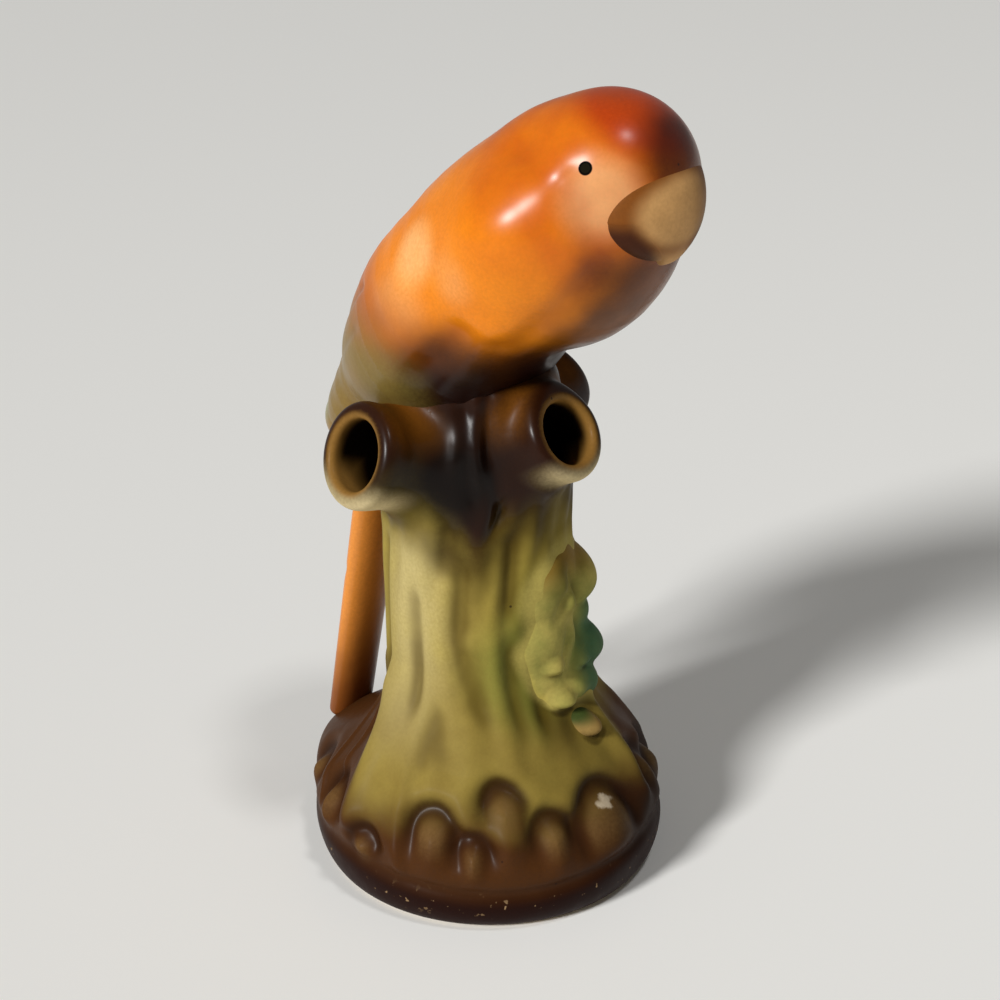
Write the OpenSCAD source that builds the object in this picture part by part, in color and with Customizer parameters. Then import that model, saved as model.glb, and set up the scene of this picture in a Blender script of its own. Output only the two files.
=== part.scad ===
// Glazed ceramic parrot on a tree stump, with three open branch stubs that hold flower stems.
// Millimetres. +Z is up, the bird faces -Y and its right side is -X.
// The origin lies on the trunk axis, in the plane of the flat foot.

/* [Root base] */
// Radius of the root mound where it is widest
base_r = 32.5; // [29:0.5:40]
// Radius of the flat foot
foot_r = 28; // [22:0.5:29]
// Height at which the mound is widest
mound_z = 8; // [6:0.5:10]
// Distance of the mound's middle in front of the trunk axis
base_forward = 3; // [0:0.5:5]
// Height of the joint between root base and trunk
base_top = 26; // [22:1:30]
// Thickness of the closed floor
floor_t = 5; // [3:0.5:7]
// Height of the heel that carries the tail tip
heel_z = 14; // [11:0.5:17]
// How far the heel stands out of the mound
heel_out = 6; // [5:0.5:8]
// Angle over which the heel fades into the mound
heel_angle = 20; // [14:1:28]

/* [Trunk] */
// Radius of the straight trunk
trunk_r = 17; // [16:0.5:21]
// Height at which the root flare ends
flare_z = 42; // [36:1:48]
// Height of the joint between trunk and crown
trunk_top = 66; // [58:1:80]
// Cast wall of the base and trunk
wall = 4.2; // [3:0.2:5]
// Number of bark furrows
bark_count = 9; // [5:1:14]
// Depth of the bark furrows
bark_depth = 0.7; // [0:0.1:1.2]

/* [Stump crown] */
// Radius of the crown
crown_r = 17.4; // [16.5:0.2:21]
// Height of the crown, from the trunk to the perch
crown_h = 27; // [26:0.5:32]
// Rounding of the crown's upper edge
crown_round = 1; // [0.5:0.1:2]
// Radius of the crown's hollow
hollow_r = 9.5; // [7:0.5:10]
// Thickness of the perch above the hollow
perch_t = 9; // [7:0.5:11]
// How deep the flat back is cut into the crown
back_cut = 2.4; // [1.5:0.1:3.5]

/* [Branch stubs] */
// Height above the trunk joint where the three stub axes meet
stub_meet = 7; // [6:0.5:9]
// Distance from that meeting point to each socket's floor
socket_d = 15; // [14:0.2:16]
// Bore of the two side stubs
side_bore = 13; // [9:0.2:14]
// Wall of the two side stubs
side_wall = 2.6; // [2:0.1:3.2]
// Length of the two side stubs
side_reach = 12; // [8:0.5:18]
// Rise of the two side stubs in degrees
side_rise = 20; // [15:1:24]
// Angle of the two side stubs from the front
side_turn = 102; // [92:1:108]
// Bore of the front stub
front_bore = 11.4; // [8:0.2:12.4]
// Wall of the front stub
front_wall = 2.4; // [2:0.1:2.8]
// Length of the front stub
front_reach = 9; // [7:0.5:9.5]
// Rise of the front stub in degrees
front_rise = 31; // [26:1:32]
// Radial gap around a stub in its socket
socket_gap = 0.25; // [0.1:0.05:0.4]

/* [Parrot] */
// Height of the bird above the perch
parrot_h = 50; // [42:1:62]
// Width of the bird
parrot_w = 40; // [33:0.5:48]
// Cast wall of the bird
parrot_wall = 4; // [3:0.2:5]
// Width of the beak
beak_w = 17; // [13:0.5:19]
// Height of the upper beak above the split
upper_beak_h = 9.6; // [7:0.2:10]
// Height of the lower beak below the split
lower_beak_h = 4.8; // [3:0.2:5.4]
// How far the upper beak's tip stands out of the face
beak_out = 5.4; // [4:0.2:7]
// How far the upper beak's tip hooks down
beak_hook = 4.4; // [3:0.2:5]
// Height of the split between the beak's halves above the neck
beak_split_up = 6.6; // [5.6:0.2:7.4]
// Length of the lower beak as a share of the upper beak's
lower_beak_share = 0.6; // [0.4:0.05:0.9]
// How much narrower the lower beak is on each side
lower_beak_in = 0.5; // [0:0.1:1.5]
// Lean of the face under the beak in degrees
beak_lean = 17; // [14:1:19]

/* [Tail] */
// Width of the tail strip
tail_w = 12; // [9:0.5:14]
// Thickness of the tail strip
tail_t = 5.8; // [4:0.2:7]
// Distance of the tail strip's middle from the trunk
tail_stand = 6.2; // [5:0.2:8]
// Gap that the slip fills between curved faces
slip_gap = 0.25; // [0.15:0.05:0.35]

/* [Leaf sprig] */
// Angle of the sprig's middle from the front
sprig_turn = 12; // [-10:1:25]
// Height of the upper leaf's middle
upper_leaf_z = 57; // [56:0.2:59]
// Width of the upper leaf
upper_leaf_w = 14.8; // [10:0.2:18]
// Height of the upper leaf from edge to edge
upper_leaf_h = 11; // [8:0.2:13]
// Height of the lower leaf's middle
lower_leaf_z = 46.6; // [46:0.2:47]
// Width of the lower leaf
lower_leaf_w = 17.6; // [12:0.2:20]
// Height of the lower leaf from edge to edge
lower_leaf_h = 8.4; // [6:0.2:9.6]
// Number of lobes on a leaf
leaf_lobes = 5; // [3:1:7]
// Depth of the lobes as a share of the leaf's reach
lobe_depth = 0.08; // [0:0.01:0.12]
// Edge thickness of the leaves and fruits
leaf_edge = 0.8; // [0.5:0.1:1.2]
// Rise of the leaves' middle above their edge
leaf_rise = 3; // [2:0.1:4]
// Diameter of the round fruits
berry_d = 4.6; // [3.6:0.1:5]
// Rise of the round fruits above their edge
berry_rise = 2.2; // [1.5:0.1:3]

/* [Hidden] */
$fn = 64;

// Points around each kind of ring
stump_sides = 54;
parrot_sides = 40;
tail_sides = 24;
leaf_sides = 40;
berry_sides = 18;
beak_steps = 14;

perch_z = trunk_top + crown_h;
back_seat_y = crown_r - back_cut;
heel_step = 0.4;

// Breast, back and half width of the bird, as [height share, breast y, back y, width share]
parrot_rows = [
    [0, -15, 25, 0.78],
    [0.12, -22.5, 22, 0.97],
    [0.24, -30.5, 19, 0.99],
    [0.36, -35, 15, 1],
    [0.48, -36.4, 11, 0.98],
    [0.6, -40, 6.5, 0.94],
    [0.72, -41.6, -1, 0.82],
    [0.84, -40.4, -9.5, 0.64],
    [0.93, -37, -18.5, 0.45],
    [0.985, -32.8, -23.5, 0.25],
    [1, -28.6, -27.4, 0.04]];
neck_row = 4;
top_row = len(parrot_rows) - 1;
neck_z = perch_z + parrot_rows[neck_row][0] * parrot_h;
neck_front = [0, parrot_rows[neck_row][1], neck_z];
neck_middle = [0, (parrot_rows[neck_row][1] + parrot_rows[neck_row][2]) / 2, neck_z];
shell_scale = 1 - parrot_wall / (parrot_rows[neck_row][3] * parrot_w / 2);

// Face under the beak: a plane through the front of the neck, with its outward and upward directions
face_out = [0, -cos(beak_lean), -sin(beak_lean)];
face_up = [0, -sin(beak_lean), cos(beak_lean)];
beak_split = neck_front + beak_split_up * face_up;
beak_tip = [0, -beak_out, -beak_hook];

// Tail tip, seated on the heel
tip_z = heel_z + heel_step + slip_gap;
tip_y = stump_y(heel_z) + stump_r(heel_z) + slip_gap + tail_t / 2;

// Top of the tail strip behind the seat
strip_y = trunk_r + tail_stand - back_seat_y;

// Rump, as [height from the perch, middle behind the seat, half thickness, half width] from below
rump_rows = [
    [-33, strip_y, tail_t / 2, tail_w / 2],
    [-23, strip_y - 1.8, tail_t / 2 + 0.5, tail_w / 2 + 1],
    [-16, 6, 7, 9],
    [-9, 2, 11.4, 11.5],
    [0, 0, 10.5, 13.6],
    [6, 0, 7, 13.2],
    [12, 0, 4.2, 10.4],
    [17, 0, 1, 3]];

// The whole tail, as [height, middle y, half thickness, half width] from the tip up
tail_top = [perch_z, back_seat_y, 0, 0] + rump_rows[0];
tail_tip = [tip_z, tip_y, tail_t / 2, tail_w / 2];
tail_rows = concat(
    [tail_tip, (tail_tip + tail_top) / 2],
    [for (row = rump_rows) [perch_z, back_seat_y, 0, 0] + row]);

// Fruits under the leaves, as [angle from the sprig's middle, height]
left_berry_at = [-17, 40];
right_berry_at = [10, 37.6];
low_berry_at = [-13, 34.6];
bud_at = [-6, 30.2];

// Branch stubs, as [turn, rise, bore, wall, length]
right_stub = [-side_turn, side_rise, side_bore, side_wall, side_reach];
left_stub = [side_turn, side_rise, side_bore, side_wall, side_reach];
front_stub = [0, front_rise, front_bore, front_wall, front_reach];

// Falls smoothly from 1 to 0 while t goes from 0 to 1
function fall(t) = (1 + cos(180 * min(max(t, 0), 1))) / 2;

// Evenly spaced values
function steps(from, to, count) = [for (i = [0 : count]) from + (to - from) * i / count];

// Angles once around, with 0 at the front
function around(count) = [for (i = [0 : count - 1]) 360 * i / count - 180];

// Smooth curve through the rows of a table, at row position s
function curve(rows, s) =
    let (i = min(floor(s), len(rows) - 2), t = s - i)
    let (a = rows[max(i - 1, 0)], b = rows[i], c = rows[i + 1], d = rows[min(i + 2, len(rows) - 1)])
    b + t / 2 * (c - a + t * (2 * a - 5 * b + 4 * c - d + t * (3 * (b - c) + d - a)));

// Radius and middle of the plain stump at a height
function stump_r(z) = z < mound_z
    ? foot_r + (base_r - foot_r) * sqrt(1 - pow(1 - z / mound_z, 2))
    : trunk_r + (base_r - trunk_r) * fall((z - mound_z) / (flare_z - mound_z));
function stump_y(z) = -base_forward * fall(z / flare_z);

// Bark furrows, which fade out towards the foot, and the heel at the back
function furrow(a, z) = bark_depth * (1 - cos(bark_count * a)) / 2 * min(1, z / base_top);
function heel(a, z) = z > heel_z ? 0 : heel_out * exp(-pow((180 - abs(a)) / heel_angle, 2));

// Points and rings of the stump's outside and of its hollow
function at_radius(a, z, r) = [r * sin(a), stump_y(z) - r * cos(a), z];
function bark_point(a, z, out = 0) = at_radius(a, z, stump_r(z) + heel(a, z) - furrow(a, z) + out);
function bark_ring(z) = [for (a = around(stump_sides)) bark_point(a, z)];
function hollow_ring(z) = [for (a = around(stump_sides)) at_radius(a, z, stump_r(z) - wall)];

// Level ring of the bird at row position s
function parrot_ring(s) =
    let (row = curve(parrot_rows, s), middle = (row[1] + row[2]) / 2, half = (row[2] - row[1]) / 2)
    [for (a = around(parrot_sides))
        [row[3] * parrot_w / 2 * sin(a), middle - half * cos(a), perch_z + row[0] * parrot_h]];

// Shrinks points towards a middle, flattens them against the tail's seat or against the face
function shrunk(points, middle, share) = [for (p = points) middle + share * (p - middle)];
function before_tail(points) = [for (p = points) [p[0], min(p[1], back_seat_y), p[2]]];
function behind_face(points) = [for (p = points) p - max(0, (p - neck_front) * face_out) * face_out];

function body_ring(s) = before_tail(parrot_ring(s));
function body_hollow(s) =
    let (row = curve(parrot_rows, s), middle_y = (row[1] + min(row[2], back_seat_y)) / 2)
    shrunk(body_ring(s), [0, middle_y, perch_z + row[0] * parrot_h], shell_scale);
function head_ring(s) = behind_face(body_ring(s));
function head_hollow(s) = shrunk(head_ring(s), neck_middle, shell_scale);

// Level ring of the tail, flat where it meets the body and the crown
function tail_ring(s) =
    let (row = curve(tail_rows, s))
    [for (a = around(tail_sides)) [row[3] * sin(a), max(row[1] - row[2] * cos(a), back_seat_y), row[0]]];

// Half oval of the beak, drawn in and carried towards the tip by an angle q
function beak_ring(q, from, half_w, height, tip) =
    [for (a = steps(from, from + 180, beak_steps))
        beak_split + sin(q) * tip + cos(q) * (half_w * cos(a) * [1, 0, 0] + height * sin(a) * face_up)];

// Ring of a relief on the bark, a share of the way out to its lobed edge
function relief_ring(turn, z, w, h, sides, depth, share, out) =
    [for (a = around(sides))
        let (reach = share / 2 * (1 + depth * cos(leaf_lobes * a)))
        let (level = z + h * reach * sin(a))
        bark_point(turn + w * reach * cos(a) / stump_r(level) * 180 / PI, level, out)];

// Two triangles between neighbouring points of two rings
function wall_faces(low, high, count) =
    [for (i = [0 : count - 1])
        let (j = (i + 1) % count)
        each [[low + i, high + j, low + j], [low + i, high + i, high + j]]];

// Closed solid through a list of rings, capped at its first and last ring
module stack(rings) {
    count = len(rings[0]);
    last = len(rings) - 1;
    polyhedron(
        points = [for (ring = rings) each ring],
        faces = concat(
            [[for (i = [0 : count - 1]) i]],
            [for (k = [0 : last - 1]) each wall_faces(k * count, (k + 1) * count, count)],
            [[for (i = [count - 1 : -1 : 0]) last * count + i]]));
}

// Closed tube through a list of rings whose last ring joins the first
module tube(rings) {
    count = len(rings[0]);
    total = len(rings);
    polyhedron(
        points = [for (ring = rings) each ring],
        faces = [for (k = [0 : total - 1]) each wall_faces(k * count, (k + 1) % total * count, count)]);
}

// Moves a shape that stands on the origin onto a stub's axis, a distance out from the meeting point
module on_stub(stub, distance) {
    translate([0, 0, trunk_top + stub_meet])
        rotate([90 - stub[1], 0, stub[0]])
            translate([0, 0, distance])
                children();
}

// Open tube with a rounded lip
module branch_stub(stub) {
    bore_r = stub[2] / 2;
    lip_r = stub[3] / 2;
    on_stub(stub, socket_d)
        rotate_extrude() {
            translate([bore_r, 0])
                square([stub[3], stub[4] - lip_r]);
            translate([bore_r + lip_r, stub[4] - lip_r])
                circle(r = lip_r);
        }
}

// Socket for a stub, with the passage behind it
module stub_socket(stub) {
    on_stub(stub, socket_d)
        cylinder(r = stub[2] / 2 + stub[3] + socket_gap, h = stub[4] + crown_r);
    on_stub(stub, 0)
        cylinder(r = stub[2] / 2 + socket_gap, h = socket_d + socket_gap);
}

// Half of the beak, from the face to its tip
module half_beak(from, half_w, height, tip) {
    stack([for (q = [0 : 12 : 84]) beak_ring(q, from, half_w, height, tip)]);
}

// Leaf or fruit on the bark, with an upright edge and a domed front
module relief(turn, z, w, h, rise, sides, depth) {
    stack(concat(
        [for (share = [0.1, 0.4, 0.7, 1])
            relief_ring(turn, z, w, h, sides, depth, share, slip_gap)],
        [for (q = [90, 70, 50, 30, 6])
            relief_ring(turn, z, w, h, sides, depth, sin(q), slip_gap + leaf_edge + rise * cos(q))]));
}

module leaf(z, w, h) {
    relief(sprig_turn, z, w, h, leaf_rise, leaf_sides, lobe_depth);
}

module berry(at) {
    relief(sprig_turn + at[0], at[1], berry_d, berry_d, berry_rise, berry_sides, 0);
}

module root_base() {
    levels = concat(
        [for (q = [0 : 18 : 90]) mound_z * (1 - cos(q))],
        [heel_z, heel_z + heel_step],
        steps((heel_z + heel_step + base_top) / 2, base_top, 1));
    color("saddlebrown")
        stack(concat(
            [for (z = levels) bark_ring(z)],
            [for (z = steps(base_top, floor_t, 4)) hollow_ring(z)]));
}

module trunk() {
    color("darkkhaki")
        tube(concat(
            [for (z = steps(base_top, trunk_top, 11)) bark_ring(z)],
            [for (z = steps(trunk_top, base_top, 6)) hollow_ring(z)]));
}

module stump_crown() {
    color("sienna")
        difference() {
            translate([0, 0, trunk_top])
                rotate_extrude() {
                    square([crown_r, crown_h - crown_round]);
                    square([crown_r - crown_round, crown_h]);
                    translate([crown_r - crown_round, crown_h - crown_round])
                        circle(r = crown_round);
                }
            translate([0, 0, trunk_top - 1])
                cylinder(r = hollow_r, h = crown_h - perch_t + 1);
            translate([-crown_r, back_seat_y, trunk_top - 1])
                cube([2 * crown_r, crown_r, crown_h + 2]);
            stub_socket(right_stub);
            stub_socket(left_stub);
            stub_socket(front_stub);
        }
}

module right_branch_stub() {
    color("peru")
        branch_stub(right_stub);
}

module left_branch_stub() {
    color("peru")
        branch_stub(left_stub);
}

module front_branch_stub() {
    color("peru")
        branch_stub(front_stub);
}

module parrot_body() {
    color("orange")
        tube(concat(
            [for (s = steps(0, neck_row, 9)) body_ring(s)],
            [for (s = steps(neck_row, 0, 5)) body_hollow(s)]));
}

module parrot_head() {
    color("orangered")
        stack(concat(
            [for (s = steps(top_row, neck_row, 9)) head_hollow(s)],
            [for (s = steps(neck_row, top_row, 15)) head_ring(s)]));
}

module upper_beak() {
    color("tan")
        half_beak(0, beak_w / 2, upper_beak_h, beak_tip);
}

module lower_beak() {
    color("saddlebrown")
        half_beak(180, beak_w / 2 - lower_beak_in, lower_beak_h, lower_beak_share * beak_tip);
}

module tail() {
    color("chocolate")
        stack([for (s = steps(0, len(tail_rows) - 1, 27)) tail_ring(s)]);
}

module upper_leaf() {
    color("yellowgreen")
        leaf(upper_leaf_z, upper_leaf_w, upper_leaf_h);
}

module lower_leaf() {
    color("olivedrab")
        leaf(lower_leaf_z, lower_leaf_w, lower_leaf_h);
}

module left_berry() {
    color("yellowgreen")
        berry(left_berry_at);
}

module right_berry() {
    color("yellowgreen")
        berry(right_berry_at);
}

module low_berry() {
    color("yellowgreen")
        berry(low_berry_at);
}

module bud() {
    color("seagreen")
        berry(bud_at);
}

root_base();
trunk();
stump_crown();
right_branch_stub();
left_branch_stub();
front_branch_stub();
parrot_body();
parrot_head();
upper_beak();
lower_beak();
tail();
upper_leaf();
lower_leaf();
left_berry();
right_berry();
low_berry();
bud();
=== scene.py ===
import bmesh
import bpy
import numpy as np
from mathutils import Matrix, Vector


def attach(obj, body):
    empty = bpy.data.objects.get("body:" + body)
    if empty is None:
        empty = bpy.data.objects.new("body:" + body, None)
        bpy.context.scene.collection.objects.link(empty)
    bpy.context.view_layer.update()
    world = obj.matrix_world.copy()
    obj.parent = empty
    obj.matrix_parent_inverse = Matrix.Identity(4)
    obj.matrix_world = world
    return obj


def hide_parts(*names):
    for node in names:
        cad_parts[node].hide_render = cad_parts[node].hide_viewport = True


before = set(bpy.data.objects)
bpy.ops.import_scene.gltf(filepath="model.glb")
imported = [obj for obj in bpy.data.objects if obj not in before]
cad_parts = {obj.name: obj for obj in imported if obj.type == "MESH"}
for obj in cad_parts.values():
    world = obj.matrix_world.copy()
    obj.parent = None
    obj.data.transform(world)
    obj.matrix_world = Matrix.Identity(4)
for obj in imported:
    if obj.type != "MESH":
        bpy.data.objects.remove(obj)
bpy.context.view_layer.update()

# Forms are in millimetres, in the frame of the CAD model: +Z is up, the bird faces -Y and its right is -X.
# A form is a function of points that is negative inside, zero on the surface and positive outside.
# A turn is an angle round the stump in degrees, 0 at the front and growing towards +X.
MM = 0.001
DEGREE = np.pi / 180
UP = Vector((0, 0, 1))
BACK = Vector((0, 1, 0))

# Joints that the CAD model has
BASE_TOP = 26
TRUNK_TOP = 66
NECK_Z = 117
TAIL_SEAT_Y = 15
STUB_MEET = (0, 0, 73)
SOCKET_FLOOR = 15

# Root base with the heel behind that carries the tail, trunk and crown
BASE_R = 31.9
FOOT_R = 28.4
MOUND_Z = 8
BASE_FORWARD = 3
HEEL_OUT = 6.2
HEEL_WIDE = 24
TRUNK_R = 16.4
FLARE_Z = 42
BACK_FLARE_Z = 33
CROWN_Z = 77
CROWN_SWELL = 0.6
CROWN_TAPER = 2.4
PERCH_Z = 93
HOLLOW_R = 9.5

# Branch stubs, as turn, rise, outer radius, bore radius, distance of the mouth from the meeting point
STUBS = {
    "right_branch_stub": (-102, 20, 9.1, 6.0, 27),
    "left_branch_stub": (99, 20, 9.1, 6.0, 27),
    "front_branch_stub": (0, 31, 8.1, 5.4, 24),
}
# Radius round a stub's axis that belongs to the stub and not to the crown
STUB_SPACE_R = 11.6
# Turns of the dark hollows between the stubs
STUB_GAPS = (-60, 50, 180)

# Bark furrows, as turn, lean per millimetre, low end, high end, half width, depth
FURROWS = [
    (-88, 0.0, 33, 56, 1.7, 0.9),
    (-59, 0.3, 48, 62, 2.2, 1.1),
    (-48, -0.8, 33, 47, 2.0, 1.0),
    (-29, 0.1, 52, 68, 2.0, 1.0),
    (-25, -0.1, 29, 47, 2.2, 1.2),
    (-12, 0.3, 30, 52, 1.8, 0.9),
    (-67, -0.3, 26, 36, 2.2, 0.9),
    (-77, 0.2, 24, 33, 2.0, 0.5),
    (-42, 1.6, 67, 74, 1.4, 1.0),
    (-66, 0.3, 60, 70, 2.6, 1.2),
    (-52, -0.3, 74, 92, 1.6, 0.9),
    (-43, 0.2, 80, 93, 1.3, 0.8),
    (-34, -0.4, 70, 84, 1.6, 1.0),
    (62, 0.1, 34, 66, 2.0, 1.0),
    (84, -0.2, 28, 52, 1.7, 0.9),
    (106, 0.1, 36, 68, 2.0, 1.0),
    (131, -0.1, 30, 60, 1.8, 1.0),
    (158, 0.2, 36, 66, 2.0, 1.0),
    (-172, 0.0, 32, 58, 1.7, 0.9),
    (-146, 0.1, 38, 66, 2.0, 1.0),
    (-120, -0.1, 32, 64, 1.8, 0.9),
]

# Root knobs under arched creases, as turn, height of the arch's top, half width
KNOBS = [
    (-68, 20.6, 4.0),
    (-42, 24.2, 3.5),
    (-54, 17.0, 2.9),
    (-26, 19.4, 3.7),
    (-3, 21.0, 6.8),
    (-94, 14.5, 3.0),
    (30, 20.5, 3.4),
    (48, 17.5, 4.4),
    (70, 22.0, 3.0),
    (92, 17.0, 4.8),
    (118, 20.5, 3.2),
    (142, 16.0, 4.0),
    (-118, 17.5, 3.8),
    (-146, 15.5, 3.4),
]
# Relief of a knob: its swelling, the crease round it and the lip outside the crease
KNOB_SWELL = 0.9
KNOB_CREASE = 1.3
KNOB_LIP = 0.45

# Ridges on the skirt and the crown, as turn, lean per millimetre, low end, high end, half width, height
RIDGES = [
    (-99, -0.45, 12, 38, 2.6, 1.6),
    (-79, -0.2, 10, 26, 1.5, 0.8),
    (-36, 0.2, 16, 32, 2.2, 0.6),
    (19, 0.1, 14, 34, 2.2, 1.9),
    (60, 0.0, 10, 32, 2.2, 1.2),
    (106, 0.1, 10, 32, 2.2, 1.2),
    (-117, -0.9, 12, 30, 0.7, 0.5),
    (-128, -1.0, 12, 28, 0.7, 0.5),
    (-60, 0.3, 79, 87, 1.7, 1.0),
    (-48, -0.2, 77, 86, 1.9, 1.1),
]

# Groove over the rim and the worn edge of the rim, as heights
RIM_GROOVE_Z = 8.6
WORN_Z = 5.2

# Chip in the glaze on the front root end, as middle and radius
CHIP = (-0.8, -30.4, 18.6)
CHIP_R = 2.0

# Shares that keep the slopes of the bark and the sprig near one
BARK_EASE = 0.85
SPRIG_EASE = 0.6

# Spine of the bird from the head to the root of the tail, as y, z, radius, sideways stretch
SPINE = [
    (-27.9, 129.1, 13.7, 1.0),
    (-18.8, 119.5, 18.1, 1.05),
    (-7.4, 110.5, 18.2, 1.08),
    (5.6, 96.9, 16.3, 1.15),
    (15.0, 89.0, 10.6, 1.25),
    (23.9, 78.4, 7.0, 1.5),
]
SPINE_PARTS = 4
MIDLINE_ROUND = 2
BACK_SLOPE = 0.93

# Tail: its ends, thickness at both, sideways stretch and the heights of the feather tips
TAIL_ROOT = (0, 19.4, 83.4)
TAIL_TIP = (0, 32.3, 15.4)
TAIL_THICK = (2.9, 2.6)
TAIL_WIDE = 2.05
TAIL_STEPS = (66, 52, 38)

# Paths on the bird's right side, mirrored to its left
CHEEK = [
    (-12.6, -20.5, 134),
    (-13.4, -28.6, 131),
    (-13, -32, 127.5),
    (-12.2, -33.6, 123),
    (-11.2, -34, 118),
]
BREAST_EDGE = [(-10.9, -34.2, 118), (-13.4, -30, 113), (-14.1, -23.4, 107), (-14.5, -19, 103.6)]
THIGH = [(-18.9, -12, 105), (-17.7, -7.2, 100), (-17.7, -3, 96)]
# Furrows along these paths, as depth, half width, path
BIRD_FURROWS = [
    (0.8, 2.8, CHEEK),
    (0.7, 2.8, BREAST_EDGE),
    (1.3, 2.8, THIGH),
]

# Wing edges and feathers seen from behind, as points across and up
WING_EDGE = [(-8, 121), (-8.5, 112), (-7, 101), (-4, 90), (-0.8, 82)]
WING_FEATHERS = [
    [(-14.5, 107), (-10.5, 97), (-6, 87)],
    [(-17, 100), (-13, 91), (-8.5, 82)],
]

# Swellings on the bird's right side, mirrored to its left, as height, spread, middle
BIRD_SWELLINGS = [
    (3.0, 8.6, (-17.6, -19.4, 121.8)),
    (0.5, 3.6, (-13.6, -27.6, 132.0)),
    (0.9, 4.0, (-16.7, -18.5, 107)),
    (0.6, 5.0, (-19.2, 0, 108)),
    (-2.6, 9.0, (-4, -17, 97)),
    (0.8, 9.0, (-10, 13, 112)),
    (0.9, 7.0, (-4, -16.5, 136.5)),
]

# Beak: its dome, the outline that it fills on the face, the line of the mouth and the planes that end it
BEAK_DOME = ((0, -32.6, 126.5), (11.9, 9.9, 12.0))
BEAK_OUTLINE = ((0, 126.6), (11.6, 8.2))
MOUTH_LOW = 116.0
MOUTH_SLANT = 1.0
MOUTH_CORNER = 125.2
BEAK_BACK_Y = -30
LOWER_BEAK_TOP = 127

# Eye on the bird's right side, its radius and the share of it inside the dark ring
EYE = (-12.5, -32.2, 133.8)
EYE_R = 1.1
EYE_INNER = 0.7

# Leaves and fruits as swellings on the bark: turn, height, half width, reach up, reach down, thickness
FOLIAGE = [
    (16, 53.5, 9.5, 9.0, 8.0, 2.3),
    (37, 52.6, 6.0, 7.5, 6.0, 5.0),
    (2, 58.0, 3.6, 2.6, 5.0, 1.8),
    (13, 44.0, 9.5, 6.5, 6.0, 2.4),
    (40, 46.0, 5.0, 6.0, 6.0, 3.7),
    (41, 39.4, 6.4, 6.5, 5.2, 6.2),
    (30, 34.8, 5.0, 5.0, 4.0, 3.6),
    (0, 45.6, 3.6, 4.5, 3.8, 1.5),
    (10, 38.5, 7.0, 6.0, 5.0, 1.7),
    (1, 40.2, 2.9, 3.0, 1.7, 2.9),
    (25, 38.4, 2.9, 3.6, 1.7, 3.6),
    (3, 34.2, 3.2, 3.2, 1.7, 2.9),
    (17, 35.0, 4.4, 4.2, 2.8, 3.0),
]
BUD = (11, 29.2, 2.7, 2.5, 2.5, 3.2)
SPRIG = FOLIAGE + [BUD]

# Ribs and grooves on the leaves, as turn, lean per millimetre, low end, high end, half width, height
VEINS = [
    (15, -1.2, 49, 56, 1.4, 1.1),
    (21, -0.9, 50, 57, 1.0, -1.1),
    (4, 1.2, 50, 56, 1.2, -1.0),
    (27, -0.6, 41, 47, 1.0, -1.0),
    (8, 0.6, 41, 46, 1.0, -0.9),
    (46, 0.5, 48, 57, 1.1, -0.7),
    (50, -0.5, 36, 44, 1.1, -0.7),
]

# Cuts between the sprig's pieces: heights of the planes, slant of the upper three, turn between the fruits
LEAF_CUT_Z = 50.5
FRUIT_CUT_Z = 42.8
LOW_CUT_Z = 38.6
BUD_CUT_Z = 31.8
CUT_SLANT = 0.25
BERRY_CUT_TURN = 12

# Boxes that the meshes are worked out in, as low and high corner, and the steps of their grids
STUMP_BOX = ((-34, -40, -2), (34, 40, 96))
BIRD_BOX = ((-24, -46, 10), (24, 38, 146))
BEAK_BOX = ((-14, -46, 114), (14, -26, 138))
SPRIG_BOX = ((-18, -32, 24), (26, 0, 68))
BODY_STEP = 0.42
SMALL_STEP = 0.28


# Helpers for forms
def ramp(value, start, end):
    """Rises smoothly from 0 at start to 1 at end."""
    t = np.clip((value - start) / (end - start), 0, 1)
    return t * t * (3 - 2 * t)


def bell(distance, width):
    """Falls smoothly from 1 at no distance to 0 well past the width."""
    return np.exp(-((distance / width) ** 2))


def join(a, b, rounding):
    """Union of two forms with a rounded corner."""
    h = np.clip(0.5 + 0.5 * (b - a) / rounding, 0, 1)
    return b + (a - b) * h - rounding * h * (1 - h)


def cut(a, b, rounding):
    """First form without the second, with a rounded edge."""
    return -join(-a, b, rounding)


def limit(a, b, rounding):
    """Where two forms overlap, with a rounded edge."""
    return -join(-a, -b, rounding)


def apart(p, q):
    """Distance between points."""
    return np.sqrt((p[0] - q[0]) ** 2 + (p[1] - q[1]) ** 2 + (p[2] - q[2]) ** 2)


def capsule(p, start, end, start_r, end_r, stretch=1.0):
    """Tapered rod with round ends, stretched sideways."""
    step = [(e - s) / k for s, e, k in zip(start, end, (stretch, 1, 1))]
    x, y, z = (p[0] - start[0]) / stretch, p[1] - start[1], p[2] - start[2]
    t = np.clip((x * step[0] + y * step[1] + z * step[2]) / sum(s * s for s in step), 0, 1)
    return apart((x, y, z), (t * step[0], t * step[1], t * step[2])) - (start_r + (end_r - start_r) * t)


def ellipsoid(p, middle, half):
    x, y, z = p[0] - middle[0], p[1] - middle[1], p[2] - middle[2]
    near = np.sqrt((x / half[0]) ** 2 + (y / half[1]) ** 2 + (z / half[2]) ** 2)
    slope = np.sqrt((x / half[0] ** 2) ** 2 + (y / half[1] ** 2) ** 2 + (z / half[2] ** 2) ** 2)
    return near * (near - 1) / (slope + 1e-9)


def path_distance(p, path):
    distance = capsule(p, path[0], path[1], 0, 0)
    for start, end in zip(path[1:], path[2:]):
        distance = np.minimum(distance, capsule(p, start, end, 0, 0))
    return distance


# The stump
def fall(t):
    """Falls from 1 to 0 along half a wave."""
    return (1 + np.cos(np.pi * np.clip(t, 0, 1))) / 2


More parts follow.
